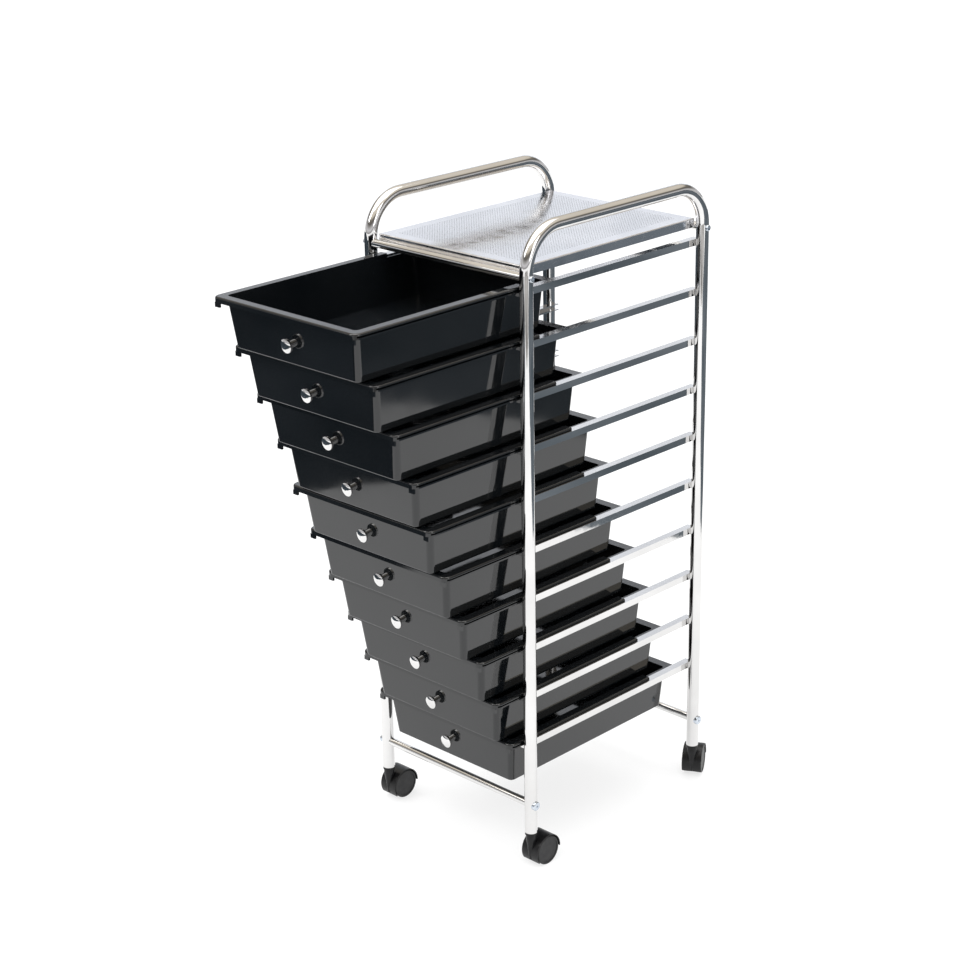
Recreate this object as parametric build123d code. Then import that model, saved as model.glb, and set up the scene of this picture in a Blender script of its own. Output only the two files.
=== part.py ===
from build123d import *
import os
from math import cos, radians, sin, tan

# Rolling salon trolley with ten pull-out drawer trays. Millimetres, +Z up.
# Origin: on the floor, midway between the four legs. The drawers open towards -Y.

# ---- frame ----
LEG_X = 151.0  # leg axis, each side of the centre
LEG_Y = 187.0  # leg axis, front and rear
TUBE_R = 9.5
TUBE_WALL = 1.2
LEG_BOTTOM = 57.5
LEG_TOP = 885.0

HANDLE_TOP = 957.0  # tube centre line
HANDLE_BEND = 59.0
PLUG_R = 8.2
PLUG_BORE = 7.0
PLUG_LENGTH = 25.0

BAR_R = 6.25
BAR_WALL = 1.2
TOP_BAR_Z = 893.5
LOW_BAR_Z = 102.5
BAR_PLUG = 18.0  # solid tapped end of each crossbar
SCREW_R = 2.5
SCREW_HOLE_R = 2.6
SCREW_LENGTH = 32.0
TOP_HEAD_R = 4.5
LOW_HEAD_R = 6.75
HEAD_STAND = 2.9  # head height over the crest of the tube

# ---- top shelf ----
SHELF_X = 141.0
SHELF_Y = LEG_Y - BAR_R
SHELF_TOP = 906.5
SHELF_SKIRT = 13.5
SHEET = 1.0
SHELF_HOLE_R = 1.75
SHELF_HOLE_INSET = 14.0

# ---- rails ----
DRAWERS = 10
RAIL_TOP = 876.0  # top face of the uppermost pair
PITCH = 75.1
RAIL_Y = 189.0
RAIL_OUT = 144.5
RAIL_IN = 132.5
RAIL_HEIGHT = 10.0
RAIL_SHEET = 1.2
STOP_LENGTH = 2.5
STOP_HEIGHT = 3.8

# ---- drawer trays: y from the front edge rearwards, z from the rail's top ----
TRAY_X = 140.5
TRAY_LENGTH = 376.0
TRAY_DEPTH = 68.6
TRAY_WALL = 1.9
TRAY_FLOOR = 2.2
OVERHANG = 12.5  # from the lip's edge to the wall
SIDE_TAPER = 6.2  # degrees, front and sides
REAR_TAPER = 2.0
WALL_CORNER = 8.0
LIP_CORNER = 11.0
LIP_TOP = 3.8
LIP_BASE = 0.3
LIP_LENGTH = 308.0
LIP_EDGE = 2.8
RIB_X = 131.8
TONGUE_TOP = -2.0  # the tongue runs inside the rail, under its top flange
TONGUE_BASE = -4.2
SKIRT_THICK = 4.5
CLOSED_Y = -193.6  # front edge of a closed tray
MAX_OUT = 305.0
STOP_GAP = 0.1

# How far each tray stands open, top to bottom
OPEN = [294, 264, 231, 199, 174.5, 146, 115, 81, 51, 22]

# ---- knobs ----
KNOB_Z = -38.5
NECK_R = 5.0
NECK_LENGTH = 7.5
HEAD_R = 9.8
KNOB_LENGTH = 14.0
KNOB_DOME = 2.6
KNOB_SCREW_R = 2.0
KNOB_SCREW_DEPTH = 8.0

# ---- casters: swivel axis at x = y = 0, wheels trailing towards +Y ----
WHEEL_R = 22.3
TRAIL = 21.0
WHEEL_IN = 4.5
WHEEL_OUT = 15.0
AXLE_R = 3.0
AXLE_RUN = 0.05
HOOD_R = 25.0
HOOD_CAVITY = 23.6
HOOD_X = 15.5
HOOD_FRONT_Z = 8.5
WEB_X = 3.5
BOSS_R = 8.0
BOSS_TOP = 53.2
STEM_R = 5.0
STEM_BOTTOM = 38.0
STEM_TOP = 86.0
SOCKET_COLLAR_R = 9.25
SOCKET_BOTTOM = 53.5
SOCKET_TOP = 92.0
CASTER_TURN = {"front_left": 0, "front_right": 0, "rear_left": 12, "rear_right": 29}

CORNERS = {
    "front_left": (-LEG_X, -LEG_Y),
    "front_right": (LEG_X, -LEG_Y),
    "rear_left": (-LEG_X, LEG_Y),
    "rear_right": (LEG_X, LEG_Y),
}
ALONG_X = Rotation(0, 90, 0)


def save(name, solids):
    """Write one node: a single solid or a group of separate solids."""
    shape = solids[0] if len(solids) == 1 else Compound(children=solids)
    export_step(shape, f"parts/{name}.step")


def block(x0, x1, y0, y1, z0, z1):
    """Box between two corners."""
    centre = Pos((x0 + x1) / 2, (y0 + y1) / 2, (z0 + z1) / 2)
    return centre * Box(x1 - x0, y1 - y0, z1 - z0)


def rod(radius, x0, x1, y=0.0, z=0.0):
    """Cylinder along X."""
    return Pos((x0 + x1) / 2, y, z) * ALONG_X * Cylinder(radius, x1 - x0)


def post(radius, z0, z1, x=0.0, y=0.0):
    """Cylinder along Z."""
    return Pos(x, y, (z0 + z1) / 2) * Cylinder(radius, z1 - z0)


# ---------------------------------------------------------------- frame
def leg(x, y):
    tube = post(TUBE_R, LEG_BOTTOM, LEG_TOP, x, y)
    tube -= post(TUBE_R - TUBE_WALL, LEG_BOTTOM, LEG_TOP, x, y)
    tube -= rod(SCREW_HOLE_R, x - 2 * TUBE_R, x + 2 * TUBE_R, y, LOW_BAR_Z)
    return tube


def handle_path(x):
    """Centre line of a handle: up the front leg, over and down to the rear leg."""
    bend_z = HANDLE_TOP - HANDLE_BEND
    top_y = LEG_Y - HANDLE_BEND
    front = Edge.make_line((x, -LEG_Y, LEG_TOP), (x, -LEG_Y, bend_z))
    rear = Edge.make_line((x, LEG_Y, bend_z), (x, LEG_Y, LEG_TOP))
    run = Edge.make_line((x, -top_y, HANDLE_TOP), (x, top_y, HANDLE_TOP))
    mid = HANDLE_BEND * cos(radians(45))
    first = Edge.make_three_point_arc(
        (x, -LEG_Y, bend_z), (x, -top_y - mid, bend_z + mid), (x, -top_y, HANDLE_TOP)
    )
    second = Edge.make_three_point_arc(
        (x, top_y, HANDLE_TOP), (x, top_y + mid, bend_z + mid), (x, LEG_Y, bend_z)
    )
    return Wire([front, first, run, second, rear])


def handle_bar(x, radius):
    """The handle as a solid rod of the given radius."""
    start = Plane(origin=(x, -LEG_Y, LEG_TOP), z_dir=(0, 0, 1))
    return sweep(start * Circle(radius), path=handle_path(x))


def handle(x):
    shape = handle_bar(x, TUBE_R) - handle_bar(x, TUBE_R - TUBE_WALL)
    for y in (-LEG_Y, LEG_Y):
        plug = post(TUBE_R, LEG_TOP, LEG_TOP + 2, x, y)
        plug += post(PLUG_R, LEG_TOP - PLUG_LENGTH, LEG_TOP, x, y)
        shape += plug - post(PLUG_BORE, LEG_TOP - PLUG_LENGTH, LEG_TOP + 2, x, y)
        shape -= rod(SCREW_HOLE_R, x - 2 * TUBE_R, x + 2 * TUBE_R, y, TOP_BAR_Z)
    return shape


def crossbar(y, z):
    """Round tube between two uprights, coped to them, with solid tapped ends."""
    bar = rod(BAR_R, -LEG_X, LEG_X, y, z)
    hollow = LEG_X - TUBE_R - BAR_PLUG
    bar -= rod(BAR_R - BAR_WALL, -hollow, hollow, y, z)
    for x in (-LEG_X, LEG_X):
        inner = (abs(x) - TUBE_R - BAR_PLUG) * (1 if x > 0 else -1)
        bar -= rod(SCREW_HOLE_R, min(x, inner), max(x, inner), y, z)
        upright = handle_bar(x, TUBE_R) if z > LEG_TOP else post(TUBE_R, LEG_BOTTOM, LEG_TOP, x, y)
        bar -= upright
    return max(bar.solids(), key=lambda s: s.volume)


def frame_screw(x, y, z, head_r):
    """Pan-head screw along X, its head shaped to sit on the round tube."""
    crest = TUBE_R + HEAD_STAND
    head = rod(head_r, 0, crest)
    head = fillet(head.faces().sort_by(Axis.X)[-1].edges(), 1.6)
    head -= post(TUBE_R, -2 * TUBE_R, 2 * TUBE_R)
    head -= rod(1.6, crest - 1.2, crest)
    shank = rod(SCREW_R, TUBE_R + 0.5 - SCREW_LENGTH, TUBE_R + 0.5)
    screw = head + shank
    return Pos(x, y, z) * Rotation(0, 0, 0 if x > 0 else 180) * screw


def frame_screws():
    screws = []
    for z, head_r in ((TOP_BAR_Z, TOP_HEAD_R), (LOW_BAR_Z, LOW_HEAD_R)):
        screws += [frame_screw(x, y, z, head_r) for x, y in CORNERS.values()]
    return screws


def top_shelf():
    """Folded sheet tray, open below, its skirt touching the two upper crossbars."""
    bottom = SHELF_TOP - SHELF_SKIRT
    shelf = block(-SHELF_X, SHELF_X, -SHELF_Y, SHELF_Y, bottom, SHELF_TOP)
    edges = shelf.edges().filter_by(Axis.Z) + shelf.faces().sort_by(Axis.Z)[-1].edges()
    shelf = fillet(edges, 1.5)
    inner_x = SHELF_X - SHEET
    inner_y = SHELF_Y - SHEET
    shelf -= block(-inner_x, inner_x, -inner_y, inner_y, bottom, SHELF_TOP - SHEET)
    for y in (-1, 1):
        hole_y = y * (SHELF_Y - SHELF_HOLE_INSET)
        shelf -= rod(SHELF_HOLE_R, -SHELF_X - 1, SHELF_X + 1, hole_y, bottom + 5.5)
    return shelf


# ---------------------------------------------------------------- rails
def rail_top(index):
    return RAIL_TOP - PITCH * index


def rail(index):
    """Channel open towards the drawers, with a stop tongue at its front end."""
    top = rail_top(index)
    base = top - RAIL_HEIGHT
    channel = block(RAIL_IN, RAIL_OUT, -RAIL_Y, RAIL_Y, base, top)
    channel -= block(
        RAIL_IN, RAIL_OUT - RAIL_SHEET, -RAIL_Y, RAIL_Y, base + RAIL_SHEET, top - RAIL_SHEET
    )
    floor = base + RAIL_SHEET
    stop = block(
        RAIL_IN + 1, LEG_X - TUBE_R, -RAIL_Y, -RAIL_Y + STOP_LENGTH, floor - 0.5, floor + STOP_HEIGHT
    )
    channel += stop
    for y in (-LEG_Y, LEG_Y):
        channel -= post(TUBE_R, base - 1, top + 1, LEG_X, y)
    return max(channel.solids(), key=lambda s: s.volume)


# ---------------------------------------------------------------- drawers
def wall_outline(z, inset):
    """Rounded outline of the tapered wall at height z, moved inwards by inset."""
    slope = tan(radians(SIDE_TAPER))
    half = TRAY_X - OVERHANG + z * slope - inset
    front = OVERHANG - z * slope + inset
    rear = TRAY_LENGTH - OVERHANG + z * tan(radians(REAR_TAPER)) - inset
    outline = RectangleRounded(2 * half, rear - front, WALL_CORNER - inset)
    return Pos(0, (front + rear) / 2, z) * outline


def lip_plate(z0, z1, length):
    """Flat plate with the lip's outline, cut off square at the given length."""
    outline = Pos(0, TRAY_LENGTH / 2) * RectangleRounded(2 * TRAY_X, TRAY_LENGTH, LIP_CORNER)
    plate = Pos(0, 0, z0) * extrude(outline, z1 - z0)
    return plate & block(-TRAY_X, TRAY_X, 0, length, z0, z1)


def tray_shell():
    """Tapered bucket with its floor edge rounded, not yet hollow."""
    bucket = loft([wall_outline(-TRAY_DEPTH, 0), wall_outline(LIP_TOP, 0)], ruled=True)
    return fillet(bucket.faces().sort_by(Axis.Z)[0].edges(), 2.0)


def tray_cavity():
    """The space inside the tray, running out above the lip."""
    bottom = TRAY_FLOOR - TRAY_DEPTH
    return loft([wall_outline(bottom, TRAY_WALL), wall_outline(LIP_TOP + 4, TRAY_WALL)], ruled=True)


def drawer_tray():
    lip = lip_plate(LIP_BASE, LIP_TOP, LIP_LENGTH)
    rim_edges = [e for e in lip.faces().sort_by(Axis.Z)[-1].edges() if e.center().Y < LIP_LENGTH - 1]
    lip = fillet(rim_edges, LIP_EDGE)
    tray = tray_shell()
    tray += lip
    tray += lip_plate(TONGUE_BASE, TONGUE_TOP, TRAY_LENGTH)
    tray += lip_plate(TONGUE_BASE, LIP_BASE, SKIRT_THICK)
    tray += block(-RIB_X, RIB_X, SKIRT_THICK - 0.5, LIP_LENGTH, TONGUE_BASE, LIP_BASE)
    tray -= block(-TRAY_X, TRAY_X, LIP_LENGTH, TRAY_LENGTH, TONGUE_TOP, LIP_TOP + 1)
    tray -= tray_cavity()
    # Front tabs stop against the rail's end when closed; the rear ones meet the
    # rail's stop tongue when the tray is fully out.
    rear_tab = MAX_OUT - CLOSED_Y - RAIL_Y + STOP_LENGTH + STOP_GAP
    for side in (-1, 1):
        front_x = sorted((side * 127.0, side * 136.5))
        rear_x = sorted((side * (RAIL_IN + 1.5), side * TRAY_X))
        tray += block(*front_x, 1.5, SKIRT_THICK, -11.0, TONGUE_BASE)
        tray += block(*rear_x, rear_tab, rear_tab + 3, -8.4, TONGUE_BASE)
    tray -= wall_normal() * Cylinder(KNOB_SCREW_R + 0.2, 12)
    return tray


def wall_normal():
    """Plane on the front wall where the knob sits, its z axis pointing outwards."""
    taper = radians(SIDE_TAPER)
    origin = (0, OVERHANG - KNOB_Z * tan(taper), KNOB_Z)
    return Plane(origin=origin, x_dir=(1, 0, 0), z_dir=(0, -cos(taper), -sin(taper)))


def drawer_knob():
    """Turned knob: a plain neck and a thick head with a domed face."""
    neck = post(NECK_R, 0, NECK_LENGTH + 1)
    dome_r = (HEAD_R**2 + KNOB_DOME**2) / (2 * KNOB_DOME)
    head = post(HEAD_R, NECK_LENGTH, KNOB_LENGTH)
    head = fillet(head.faces().sort_by(Axis.Z)[0].edges(), 1.5)
    head &= Pos(0, 0, KNOB_LENGTH - dome_r) * Sphere(dome_r)
    knob = neck + head
    knob -= post(KNOB_SCREW_R + 0.02, 0, KNOB_SCREW_DEPTH + 1)
    return wall_normal() * knob


def knob_screw():
    inside = -TRAY_WALL * cos(radians(SIDE_TAPER))
    screw = post(4.0, inside - 2.6, inside)
    screw = fillet(screw.faces().sort_by(Axis.Z)[0].edges(), 1.2)
    screw += post(KNOB_SCREW_R, inside, KNOB_SCREW_DEPTH)
    return wall_normal() * screw


# ---------------------------------------------------------------- casters
def wheel_zone(radius, x0, x1):
    """Cylinder on the axle line."""
    return rod(radius, x0, x1, TRAIL, WHEEL_R)


def caster_hood():
    """Fender over both wheels, with its central web and the boss for the stem."""
    far = 2 * HOOD_R
    keep = block(-far, far, -far, TRAIL, HOOD_FRONT_Z, far)
    keep += block(-far, far, TRAIL, TRAIL + far, WHEEL_R - 1, far)
    shell = wheel_zone(HOOD_R, -HOOD_X, HOOD_X) & keep
    neck_top = Pos(0, 0, BOSS_TOP - 6) * Circle(BOSS_R)
    neck_foot = Pos(0, -1.6, HOOD_FRONT_Z + 4) * Circle(2.2)
    hood = shell + loft([neck_foot, neck_top], ruled=True) + post(BOSS_R, BOSS_TOP - 6.5, BOSS_TOP)
    back_top = Pos(0, 2, BOSS_TOP - 8) * Circle(BOSS_R - 2)
    back_foot = Pos(0, TRAIL - 6, WHEEL_R + HOOD_R - 5) * Circle(2.5)
    hood += loft([back_foot, back_top], ruled=True)
    for x0, x1 in ((-far, -WEB_X), (WEB_X, far)):
        hood -= wheel_zone(HOOD_CAVITY, x0, x1)
    hood += wheel_zone(8.0, -WEB_X, WEB_X)
    hood -= wheel_zone(AXLE_R, -WEB_X, WEB_X)
    hood -= post(STEM_R + AXLE_RUN, STEM_BOTTOM - 0.3, BOSS_TOP)
    return hood


def caster_axle():
    return wheel_zone(AXLE_R, 1 - WHEEL_OUT, WHEEL_OUT - 1)


def caster_wheel(side):
    """One wheel of the pair; its axle hole is blind, so the outer disc is plain."""
    wheel = wheel_zone(WHEEL_R, WHEEL_IN, WHEEL_OUT)
    rims = wheel.faces().sort_by(Axis.X)
    wheel = fillet(rims[0].edges() + rims[-1].edges(), 1.6)
    wheel -= wheel_zone(WHEEL_R - 3.4, WHEEL_OUT - 0.8, WHEEL_OUT)
    wheel -= wheel_zone(AXLE_R + AXLE_RUN, WHEEL_IN, WHEEL_OUT - 0.9)
    return wheel if side > 0 else Rotation(0, 0, 180) * Pos(0, -2 * TRAIL, 0) * wheel


def caster_socket():
    socket = post(PLUG_R, LEG_BOTTOM, SOCKET_TOP)
    socket += post(SOCKET_COLLAR_R, SOCKET_BOTTOM, LEG_BOTTOM)
    return socket - post(STEM_R, SOCKET_BOTTOM, SOCKET_TOP)


def caster_stem():
    return post(STEM_R, STEM_BOTTOM, STEM_TOP)


# ---------------------------------------------------------------- build
def at_legs(shape):
    return [Pos(x, y, 0) * shape for x, y in CORNERS.values()]


def write_frame():
    for name, (x, y) in CORNERS.items():
        save(f"leg_{name}", [leg(x, y)])
    save("handle_left", [handle(-LEG_X)])
    save("handle_right", [handle(LEG_X)])
    save("top_crossbars", [crossbar(y, TOP_BAR_Z) for y in (-LEG_Y, LEG_Y)])
    save("bottom_crossbars", [crossbar(y, LOW_BAR_Z) for y in (-LEG_Y, LEG_Y)])
    save("top_shelf", [top_shelf()])
    save("frame_screws", frame_screws())
    right = [rail(i) for i in range(DRAWERS)]
    save("rails_right", right)
    save("rails_left", [mirror(r, about=Plane.YZ) for r in right])


def write_drawers():
    tray = drawer_tray()
    knob = drawer_knob()
    screw = knob_screw()
    for i in range(DRAWERS):
        place = Pos(0, CLOSED_Y - OPEN[i], rail_top(i))
        save(f"drawer_tray_{i + 1:02d}", [place * tray])
        save(f"drawer_knob_{i + 1:02d}", [place * knob])
        save(f"knob_screw_{i + 1:02d}", [place * screw])


def write_casters():
    hood = caster_hood()
    axle = caster_axle()
    wheels = {"outer": caster_wheel(1), "inner": caster_wheel(-1)}
    for name, (x, y) in CORNERS.items():
        place = Pos(x, y, 0) * Rotation(0, 0, CASTER_TURN[name])
        side = 1 if x > 0 else -1
        save(f"caster_hood_{name}", [place * hood])
        save(f"caster_axle_{name}", [place * axle])
        save(f"wheel_outer_{name}", [place * wheels["outer" if side > 0 else "inner"]])
        save(f"wheel_inner_{name}", [place * wheels["inner" if side > 0 else "outer"]])
    save("caster_sockets", at_legs(caster_socket()))
    save("caster_stems", at_legs(caster_stem()))


os.makedirs("parts", exist_ok=True)
write_frame()
write_drawers()
write_casters()
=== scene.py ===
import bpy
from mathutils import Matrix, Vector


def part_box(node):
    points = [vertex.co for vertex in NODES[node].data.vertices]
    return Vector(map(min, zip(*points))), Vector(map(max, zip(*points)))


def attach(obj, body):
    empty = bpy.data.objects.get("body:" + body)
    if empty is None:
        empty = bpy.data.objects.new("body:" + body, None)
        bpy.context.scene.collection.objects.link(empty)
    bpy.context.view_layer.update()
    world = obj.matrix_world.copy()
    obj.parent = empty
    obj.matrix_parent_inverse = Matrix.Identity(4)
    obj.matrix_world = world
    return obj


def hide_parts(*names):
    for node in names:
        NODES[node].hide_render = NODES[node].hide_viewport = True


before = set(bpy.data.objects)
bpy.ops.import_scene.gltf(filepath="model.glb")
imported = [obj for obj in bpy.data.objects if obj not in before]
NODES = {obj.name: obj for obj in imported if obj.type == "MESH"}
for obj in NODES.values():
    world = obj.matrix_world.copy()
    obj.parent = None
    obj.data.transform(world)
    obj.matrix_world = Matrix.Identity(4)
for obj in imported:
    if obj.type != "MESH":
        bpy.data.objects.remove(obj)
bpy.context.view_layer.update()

import math

import bmesh
import bpy
from mathutils import Matrix, Vector

CORNERS = ("front_left", "front_right", "rear_left", "rear_right")

# Lengths are in metres, angles in degrees unless converted where they are used.

# ---- camera: where the reference view stands ----
AIM = Vector((0, 0, 0.48))
AZIMUTH = 44.5
ELEVATION = 20.4
ROLL = -1.0
DISTANCE = 3.24
AIM_RIGHT = 0.0278  # how far right of the view's centre the aim point lies, per metre
AIM_DOWN = 0.0108
LENS = 80.9

# ---- studio: the paper the trolley stands on, measured from its middle ----
PAPER_LEFT = 1.40
PAPER_RIGHT = 1.28
PAPER_FRONT = 2.7
PAPER_BACK = 5.0
FLOOR_HALF = 60
SIDE_REACH = 50
CARD_LIFT = 0.003  # each card lies this much above the one below
BACKDROP_BEHIND = 2.6
BACKDROP_HALF = 1.5
BACKDROP_HEIGHT = 2.3

# ---- perforated shelf ----
HOLE_PITCH = 0.005
HOLE_R = 0.001
HOLE_BORDER = 0.019
SHEET = 0.001
EDGE_R = 0.0015
EDGE_STEPS = 4
LONG_PANEL_AREA = 0.002  # the skirt's long sides are larger than this, everything else is smaller
SKIRT_HOLE_R = 0.00175
SKIRT_HOLE_SIDES = 16
SKIRT_HOLE_INSET = 0.014
SKIRT_HOLE_RISE = 0.0055


# ---------------------------------------------------------------- materials
def new_material(name, color, metallic=0.0, roughness=0.3):
    """A material with one Principled shader; uniform values sit on its sockets."""
    material = bpy.data.materials.new(name)
    material.use_nodes = True
    shader = material.node_tree.nodes["Principled BSDF"]
    shader.inputs["Base Color"].default_value = (*color, 1)
    shader.inputs["Metallic"].default_value = metallic
    shader.inputs["Roughness"].default_value = roughness
    return material, shader


def object_noise(material, scale, detail=3.0, stretch=(1, 1, 1)):
    """Noise in object coordinates; returns its factor socket."""
    tree = material.node_tree
    coords = tree.nodes.new("ShaderNodeTexCoord")
    mapping = tree.nodes.new("ShaderNodeMapping")
    noise = tree.nodes.new("ShaderNodeTexNoise")
    mapping.inputs["Scale"].default_value = stretch
    noise.inputs["Scale"].default_value = scale
    noise.inputs["Detail"].default_value = detail
    tree.links.new(coords.outputs["Object"], mapping.inputs["Vector"])
    tree.links.new(mapping.outputs["Vector"], noise.inputs["Vector"])
    return noise.outputs["Fac"]


def vary_color(material, shader, factor, dark, light, low=0.35, high=0.65):
    """Base colour between two close tones."""
    ramp = material.node_tree.nodes.new("ShaderNodeValToRGB")
    ramp.color_ramp.elements[0].position = low
    ramp.color_ramp.elements[0].color = (*dark, 1)
    ramp.color_ramp.elements[1].position = high
    ramp.color_ramp.elements[1].color = (*light, 1)
    material.node_tree.links.new(factor, ramp.inputs["Fac"])
    material.node_tree.links.new(ramp.outputs["Color"], shader.inputs["Base Color"])


def vary_roughness(material, shader, factor, low, high):
    """Roughness between two values, following the noise."""
    spread = material.node_tree.nodes.new("ShaderNodeMapRange")
    spread.inputs["From Min"].default_value = 0.3
    spread.inputs["From Max"].default_value = 0.7
    spread.inputs["To Min"].default_value = low
    spread.inputs["To Max"].default_value = high
    material.node_tree.links.new(factor, spread.inputs["Value"])
    material.node_tree.links.new(spread.outputs["Result"], shader.inputs["Roughness"])


def add_bump(material, shader, factor, strength, distance):
    """Surface relief from the noise, so many metres high."""
    bump = material.node_tree.nodes.new("ShaderNodeBump")
    bump.inputs["Strength"].default_value = strength
    bump.inputs["Distance"].default_value = distance
    material.node_tree.links.new(factor, bump.inputs["Height"])
    material.node_tree.links.new(bump.outputs["Normal"], shader.inputs["Normal"])


def chrome():
    """Mirror-bright plating with faint polishing haze and a barely uneven surface."""
    material, shader = new_material("polished_chrome", (0.8, 0.79, 0.78), 1.0, 0.04)
    haze = object_noise(material, 9, 5)
    vary_color(material, shader, haze, (0.70, 0.695, 0.69), (0.79, 0.785, 0.78))
    vary_roughness(material, shader, object_noise(material, 120, 4), 0.025, 0.07)
    add_bump(material, shader, object_noise(material, 45, 2), 0.05, 0.0006)
    return material


def chromed_sheet():
    """Plated sheet steel, a little more diffuse than the tubes."""
    material, shader = new_material("chromed_sheet", (0.82, 0.82, 0.84), 1.0, 0.14)
    haze = object_noise(material, 14, 4)
    vary_color(material, shader, haze, (0.78, 0.785, 0.81), (0.87, 0.87, 0.89))
    vary_roughness(material, shader, object_noise(material, 60, 4), 0.10, 0.20)
    add_bump(material, shader, object_noise(material, 22, 2), 0.05, 0.001)
    return material


def plated_screws():
    """Zinc-plated steel with a bluish cast."""
    material, shader = new_material("plated_screws", (0.62, 0.66, 0.72), 1.0, 0.22)
    vary_color(material, shader, object_noise(material, 260, 3), (0.54, 0.60, 0.68), (0.68, 0.73, 0.79))
    vary_roughness(material, shader, object_noise(material, 900, 3), 0.16, 0.3)
    add_bump(material, shader, object_noise(material, 1500, 2), 0.1, 0.0001)
    return material


def turned_steel():
    """Bare steel with fine lathe rings."""
    material, shader = new_material("turned_steel", (0.5, 0.5, 0.51), 1.0, 0.3)
    rings = object_noise(material, 40, 2, (1, 1, 60))
    vary_color(material, shader, rings, (0.44, 0.44, 0.45), (0.56, 0.56, 0.57))
    vary_roughness(material, shader, object_noise(material, 400, 3), 0.22, 0.4)
    add_bump(material, shader, rings, 0.15, 0.0001)
    return material


def glossy_drawer():
    """High-gloss moulded black, its walls slightly wavy, so reflections swim a little."""
    material, shader = new_material("glossy_black", (0.005, 0.006, 0.007), 0.0, 0.06)
    shader.inputs["IOR"].default_value = 1.62
    cloud = object_noise(material, 7, 3)
    vary_color(material, shader, cloud, (0.0035, 0.0045, 0.0055), (0.006, 0.007, 0.008))
    vary_roughness(material, shader, object_noise(material, 18, 3), 0.04, 0.09)
    add_bump(material, shader, object_noise(material, 9, 0, (1, 1, 0.6)), 0.08, 0.003)
    return material


def satin_black(name, dark, light, roughness):
    """Moulded nylon with a fine spark-eroded grain."""
    material, shader = new_material(name, light, 0.0, roughness)
    shader.inputs["Specular IOR Level"].default_value = 0.28
    vary_color(material, shader, object_noise(material, 120, 4), dark, light)
    vary_roughness(material, shader, object_noise(material, 300, 4), roughness - 0.06, roughness + 0.08)
    add_bump(material, shader, object_noise(material, 2200, 2), 0.18, 0.00008)
    return material


def studio_paper():
    """White paper, lit from behind as well, so that shadows on it stay faint."""
    material, shader = new_material("studio_paper", (0.3, 0.3, 0.3), 0.0, 0.9)
    cloud = object_noise(material, 3, 2)
    vary_color(material, shader, cloud, (0.295, 0.295, 0.295), (0.305, 0.305, 0.305))
    shader.inputs["Specular IOR Level"].default_value = 0.0
    shader.inputs["Emission Color"].default_value = (1, 1, 1, 1)
    shader.inputs["Emission Strength"].default_value = 0.72
    return material


def paint(names, material):
    """Gives the CAD nodes this material."""
    for name in names:
        mesh = NODES[name].data
        mesh.materials.clear()
        mesh.materials.append(material)


def paint_frame_nodes():
    """Every CAD node that stays visible gets its finished material."""
    numbers = [f"{i:02d}" for i in range(1, 11)]
    bright = chrome()
    legs = [f"leg_{corner}" for corner in CORNERS]
    bars = ["handle_left", "handle_right", "top_crossbars", "bottom_crossbars"]
    rails = ["rails_left", "rails_right"]
    paint(legs + bars + rails + [f"drawer_knob_{n}" for n in numbers], bright)
    paint(["frame_screws"] + [f"knob_screw_{n}" for n in numbers], plated_screws())
    paint(["caster_stems"] + [f"caster_axle_{corner}" for corner in CORNERS], turned_steel())
    paint([f"drawer_tray_{n}" for n in numbers], glossy_drawer())
    hood = satin_black("caster_nylon", (0.004, 0.004, 0.0045), (0.008, 0.008, 0.009), 0.34)
    paint(["caster_sockets"] + [f"caster_hood_{corner}" for corner in CORNERS], hood)
    disc = satin_black("wheel_nylon", (0.018, 0.018, 0.019), (0.028, 0.028, 0.029), 0.42)
    paint([f"wheel_{side}_{corner}" for side in ("inner", "outer") for corner in CORNERS], disc)


# ---------------------------------------------------------------- perforated shelf
def ring_points(half_x, half_y, radius, z):
    """Rounded rectangle, anticlockwise from above."""
    points = []
    for quarter in range(4):
        sx = (1, -1, -1, 1)[quarter]
        sy = (1, 1, -1, -1)[quarter]
        for step in range(EDGE_STEPS + 1):
            angle = math.radians(90 * quarter + 90 * step / EDGE_STEPS)
            x = sx * (half_x - radius) + radius * math.cos(angle)
            y = sy * (half_y - radius) + radius * math.sin(angle)
            points.append((x, y, z))
    return points


def add_loop(bm, points):
    """Closed loop of edges through the points."""
    verts = [bm.verts.new(p) for p in points]
    edges = [bm.edges.new((verts[i], verts[(i + 1) % len(verts)])) for i in range(len(verts))]
    return verts, edges


def bridge(bm, upper, lower):
    """Quads between two loops of the same number of vertices."""
    for i in range(len(upper)):
        j = (i + 1) % len(upper)
        bm.faces.new((upper[i], lower[i], lower[j], upper[j]))


def fill_flat(bm, edges, normal):
    """Fills a flat outline; loops inside it stay open."""
    bmesh.ops.triangle_fill(bm, use_beauty=True, use_dissolve=False, edges=edges, normal=normal)


def perforated_cell(bm, cx, cy, z, half_x, half_y):
    """One square of sheet with an eight-sided hole."""
    outer = []
    inner = []
    for k in range(8):
        angle = math.radians(45 * k)
        reach_x = (1, 1, 0, -1, -1, -1, 0, 1)[k]
        reach_y = (0, 1, 1, 1, 0, -1, -1, -1)[k]
        outer.append(bm.verts.new((cx + half_x * reach_x, cy + half_y * reach_y, z)))
        inner.append(bm.verts.new((cx + HOLE_R * math.cos(angle), cy + HOLE_R * math.sin(angle), z)))
    bridge(bm, outer, inner)


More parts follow.
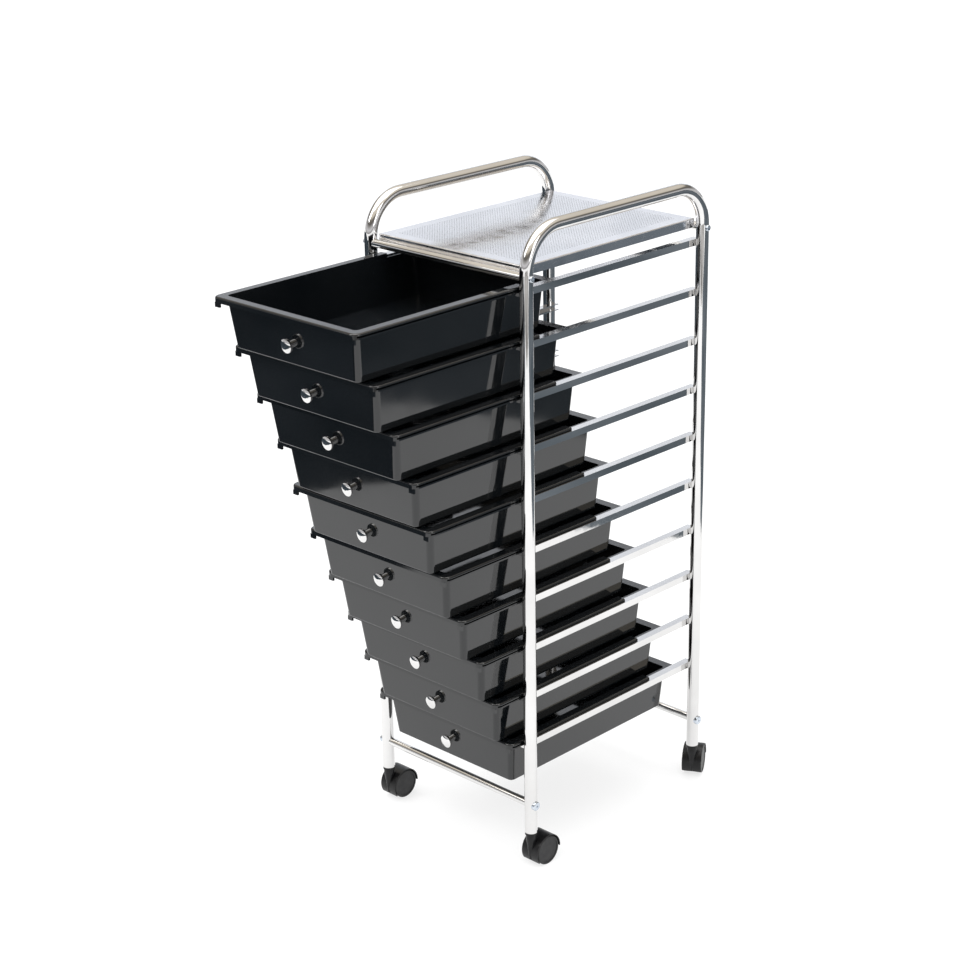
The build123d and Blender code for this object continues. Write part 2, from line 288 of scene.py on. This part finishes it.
def perforated_field(bm, half_x, half_y, z):
    """The drilled middle of the shelf; returns its outline's edges."""
    count_x = round(2 * half_x / HOLE_PITCH)
    count_y = round(2 * half_y / HOLE_PITCH)
    cell_x = half_x / count_x
    cell_y = half_y / count_y
    for i in range(count_x):
        for j in range(count_y):
            cx = -half_x + (2 * i + 1) * cell_x
            cy = -half_y + (2 * j + 1) * cell_y
            perforated_cell(bm, cx, cy, z, cell_x, cell_y)
    bmesh.ops.remove_doubles(bm, verts=bm.verts, dist=1e-5)

    def on_rim(vert):
        return abs(abs(vert.co.x) - half_x) < 1e-5 or abs(abs(vert.co.y) - half_y) < 1e-5

    return [e for e in bm.edges if e.is_boundary and all(on_rim(v) for v in e.verts)]


def skirt_holes(bm, low, high):
    """Cuts the two small round holes in each long side of the skirt."""
    panels = [f for f in bm.faces if abs(f.normal.x) > 0.99 and f.calc_area() > LONG_PANEL_AREA]
    for panel in panels:
        side = 1 if panel.calc_center_median().x > 0 else -1
        edges = list(panel.edges)
        bmesh.ops.delete(bm, geom=[panel], context="FACES_ONLY")
        for end in (-1, 1):
            y = end * (high.y - SKIRT_HOLE_INSET)
            z = low.z + SKIRT_HOLE_RISE
            circle = []
            for k in range(SKIRT_HOLE_SIDES):
                angle = 2 * math.pi * k / SKIRT_HOLE_SIDES
                dy = SKIRT_HOLE_R * math.cos(angle)
                dz = SKIRT_HOLE_R * math.sin(angle)
                circle.append((side * high.x, y + dy, z + dz))
            edges += add_loop(bm, circle)[1]
        fill_flat(bm, edges, (side, 0, 0))


def perforated_shelf():
    """Folded sheet with a drilled top, replacing the plain CAD shelf."""
    low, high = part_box("top_shelf")
    bm = bmesh.new()
    rim = perforated_field(bm, high.x - HOLE_BORDER, high.y - HOLE_BORDER, high.z)
    rings = []
    for k in range(EDGE_STEPS + 1):
        angle = math.radians(90 * k / EDGE_STEPS)
        back = EDGE_R * (1 - math.sin(angle))
        z = high.z - EDGE_R * (1 - math.cos(angle))
        radius = max(EDGE_R - back, 0.0002)
        rings.append(add_loop(bm, ring_points(high.x - back, high.y - back, radius, z)))
    rings.append(add_loop(bm, ring_points(high.x, high.y, EDGE_R, low.z)))
    border = rim + rings[0][1]
    fill_flat(bm, border, (0, 0, 1))
    for upper, lower in zip(rings, rings[1:]):
        bridge(bm, upper[0], lower[0])
    bm.normal_update()
    skirt_holes(bm, low, high)
    bmesh.ops.remove_doubles(bm, verts=bm.verts, dist=1e-6)
    bmesh.ops.recalc_face_normals(bm, faces=bm.faces)
    top = max(bm.faces, key=lambda f: f.calc_center_median().z)
    if top.normal.z < 0:
        bmesh.ops.reverse_faces(bm, faces=bm.faces)
    mesh = bpy.data.meshes.new("perforated_shelf")
    bm.to_mesh(mesh)
    bm.free()
    shelf = bpy.data.objects.new("perforated_shelf", mesh)
    bpy.context.scene.collection.objects.link(shelf)
    thick = shelf.modifiers.new("sheet", "SOLIDIFY")
    thick.thickness = SHEET
    thick.offset = -1
    mesh.materials.append(chromed_sheet())
    for face in mesh.polygons:
        face.use_smooth = False
    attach(shelf, "frame")
    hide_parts("top_shelf")


# ---------------------------------------------------------------- studio
def flat_card(name, outline, z, material):
    """Flat card of the studio, not part of the trolley."""
    bm = bmesh.new()
    edges = add_loop(bm, [(x, y, z) for x, y in outline])[1]
    fill_flat(bm, edges, (0, 0, 1))
    mesh = bpy.data.meshes.new(name)
    bm.to_mesh(mesh)
    bm.free()
    card = bpy.data.objects.new(name, mesh)
    bpy.context.scene.collection.objects.link(card)
    mesh.materials.append(material)
    return card


def square(half):
    """Corners of a square about the origin."""
    return [(-half, -half), (half, -half), (half, half), (-half, half)]


def from_camera(toward, right):
    """Point on the floor, so far toward the camera and so far to its right."""
    azimuth = math.radians(AZIMUTH)
    x = toward * math.sin(azimuth) + right * math.cos(azimuth)
    y = -toward * math.cos(azimuth) + right * math.sin(azimuth)
    return x, y


def ripple(along):
    """How far the paper's edge wanders at this point of its length."""
    return 0.03 * math.sin(9 * along) + 0.02 * math.sin(23 * along + 1)


def beside_paper(side, near, count=60):
    """Outline of the floor on one side of the paper, which ends in a wavy edge."""
    length = PAPER_FRONT + PAPER_BACK
    reach = [length * k / count - PAPER_BACK for k in range(count + 1)]
    edge = [from_camera(t, side * near + ripple(t)) for t in reach]
    far = [from_camera(t, side * SIDE_REACH) for t in (PAPER_FRONT, -PAPER_BACK)]
    return edge + far


def card_paint(name, dark, light):
    """Matt, cloudy paint between two tones."""
    material, shader = new_material(name, light, 0.0, 0.9)
    vary_color(material, shader, object_noise(material, 2, 2), dark, light)
    shader.inputs["Specular IOR Level"].default_value = 0.0
    return material


def only_in_reflections(card):
    """Hides the card from the camera and from soft light; mirrors still show it."""
    card.visible_camera = False
    card.visible_diffuse = False
    card.visible_shadow = False


def studio_floor():
    """White paper on the floor.

    Mirrors also see the dark floor beside it, the grey floor before it and the backdrop.
    """
    flat_card("floor", square(FLOOR_HALF), 0.0, studio_paper())
    dark = card_paint("dark_side", (0.012, 0.018, 0.023), (0.045, 0.055, 0.065))
    only_in_reflections(flat_card("left_of_paper", beside_paper(-1, PAPER_LEFT), CARD_LIFT, dark))
    slate = card_paint("slate_side", (0.05, 0.062, 0.072), (0.11, 0.125, 0.14))
    only_in_reflections(flat_card("right_of_paper", beside_paper(1, PAPER_RIGHT), CARD_LIFT, slate))
    grey = card_paint("grey_floor", (0.13, 0.125, 0.12), (0.46, 0.45, 0.44))
    corners = [(PAPER_FRONT, -1.7), (9, -2.6), (9, 2.6), (PAPER_FRONT, 1.6)]
    before = [from_camera(toward, right) for toward, right in corners]
    only_in_reflections(flat_card("before_paper", before, 2 * CARD_LIFT, grey))
    white = card_paint("backdrop_white", (0.62, 0.64, 0.68), (0.68, 0.70, 0.74))
    foot = [(-BACKDROP_HALF, 0), (BACKDROP_HALF, 0)]
    head = [(BACKDROP_HALF, BACKDROP_HEIGHT), (-BACKDROP_HALF, BACKDROP_HEIGHT)]
    backdrop = flat_card("backdrop", foot + head, 0.0, white)
    backdrop.location = (*from_camera(-BACKDROP_BEHIND, 0), 0.01)
    backdrop.rotation_euler = (math.radians(90), 0, math.radians(AZIMUTH))
    only_in_reflections(backdrop)


def softbox(name, location, target, width, height, power):
    """Rectangular lamp aimed at the target."""
    light = bpy.data.lights.new(name, "AREA")
    light.shape = "RECTANGLE"
    light.size = width
    light.size_y = height
    light.energy = power
    lamp = bpy.data.objects.new(name, light)
    lamp.location = location
    direction = Vector(target) - Vector(location)
    lamp.rotation_euler = direction.to_track_quat("-Z", "Y").to_euler()
    bpy.context.scene.collection.objects.link(lamp)


def studio_world():
    """White sky for the eye and the surfaces; mirrors see the room's lights and walls."""
    world = bpy.data.worlds.new("studio")
    world.use_nodes = True
    tree = world.node_tree
    coords = tree.nodes.new("ShaderNodeTexCoord")
    split = tree.nodes.new("ShaderNodeSeparateXYZ")
    ramp = tree.nodes.new("ShaderNodeValToRGB")
    tones = [
        (0.0, (0.36, 0.35, 0.35)),
        (0.10, (0.72, 0.71, 0.73)),
        (0.22, (0.42, 0.41, 0.40)),
        (0.32, (0.14, 0.13, 0.12)),
        (0.45, (0.22, 0.20, 0.17)),
        (0.56, (0.76, 0.69, 0.58)),
        (0.85, (0.86, 0.80, 0.72)),
    ]
    while len(ramp.color_ramp.elements) < len(tones):
        ramp.color_ramp.elements.new(0.5)
    for element, (position, tone) in zip(ramp.color_ramp.elements, tones):
        element.position = position
        element.color = (*tone, 1)
    path = tree.nodes.new("ShaderNodeLightPath")
    mix = tree.nodes.new("ShaderNodeMixRGB")
    mix.inputs["Color1"].default_value = (1, 1, 1, 1)
    tree.links.new(coords.outputs["Generated"], split.inputs["Vector"])
    tree.links.new(split.outputs["Z"], ramp.inputs["Fac"])
    tree.links.new(path.outputs["Is Glossy Ray"], mix.inputs["Fac"])
    tree.links.new(ramp.outputs["Color"], mix.inputs["Color2"])
    tree.links.new(mix.outputs["Color"], tree.nodes["Background"].inputs["Color"])
    tree.nodes["Background"].inputs["Strength"].default_value = 1.0
    bpy.context.scene.world = world


def studio_lights():
    """Three softboxes and a very soft fill from above."""
    softbox("key", (-1.6, -2.6, 2.9), (0, 0, 0.5), 1.6, 1.6, 25)
    softbox("side", (2.8, -0.6, 2.0), (0, 0, 0.5), 1.0, 2.0, 15)
    softbox("top", (0.2, 0.2, 3.2), (0, 0, 0), 2.4, 2.4, 20)
    light = bpy.data.lights.new("fill", "SUN")
    light.energy = 1.7
    light.angle = math.radians(60)
    sun = bpy.data.objects.new("fill", light)
    sun.rotation_euler = (math.radians(12), math.radians(-8), 0)
    bpy.context.scene.collection.objects.link(sun)


def camera():
    """Puts the camera at the reference view."""
    azimuth = math.radians(AZIMUTH)
    elevation = math.radians(ELEVATION)
    roll = math.radians(ROLL)
    forward = Vector(
        (
            -math.sin(azimuth) * math.cos(elevation),
            math.cos(azimuth) * math.cos(elevation),
            -math.sin(elevation),
        )
    )
    level = Vector((math.cos(azimuth), math.sin(azimuth), 0))
    upright = level.cross(forward)
    right = math.cos(roll) * level + math.sin(roll) * upright
    up = math.cos(roll) * upright - math.sin(roll) * level
    data = bpy.data.cameras.new("camera")
    data.lens = LENS
    data.clip_end = 200
    eye = bpy.data.objects.new("camera", data)
    place = AIM - DISTANCE * (forward + AIM_RIGHT * right - AIM_DOWN * up)
    turn = Matrix((right, up, -forward)).transposed().to_4x4()
    eye.matrix_world = Matrix.Translation(place) @ turn
    bpy.context.scene.collection.objects.link(eye)
    bpy.context.scene.camera = eye


# ---------------------------------------------------------------- build
paint_frame_nodes()
perforated_shelf()
studio_floor()
studio_world()
studio_lights()
camera()
bpy.context.scene.view_settings.view_transform = "Standard"
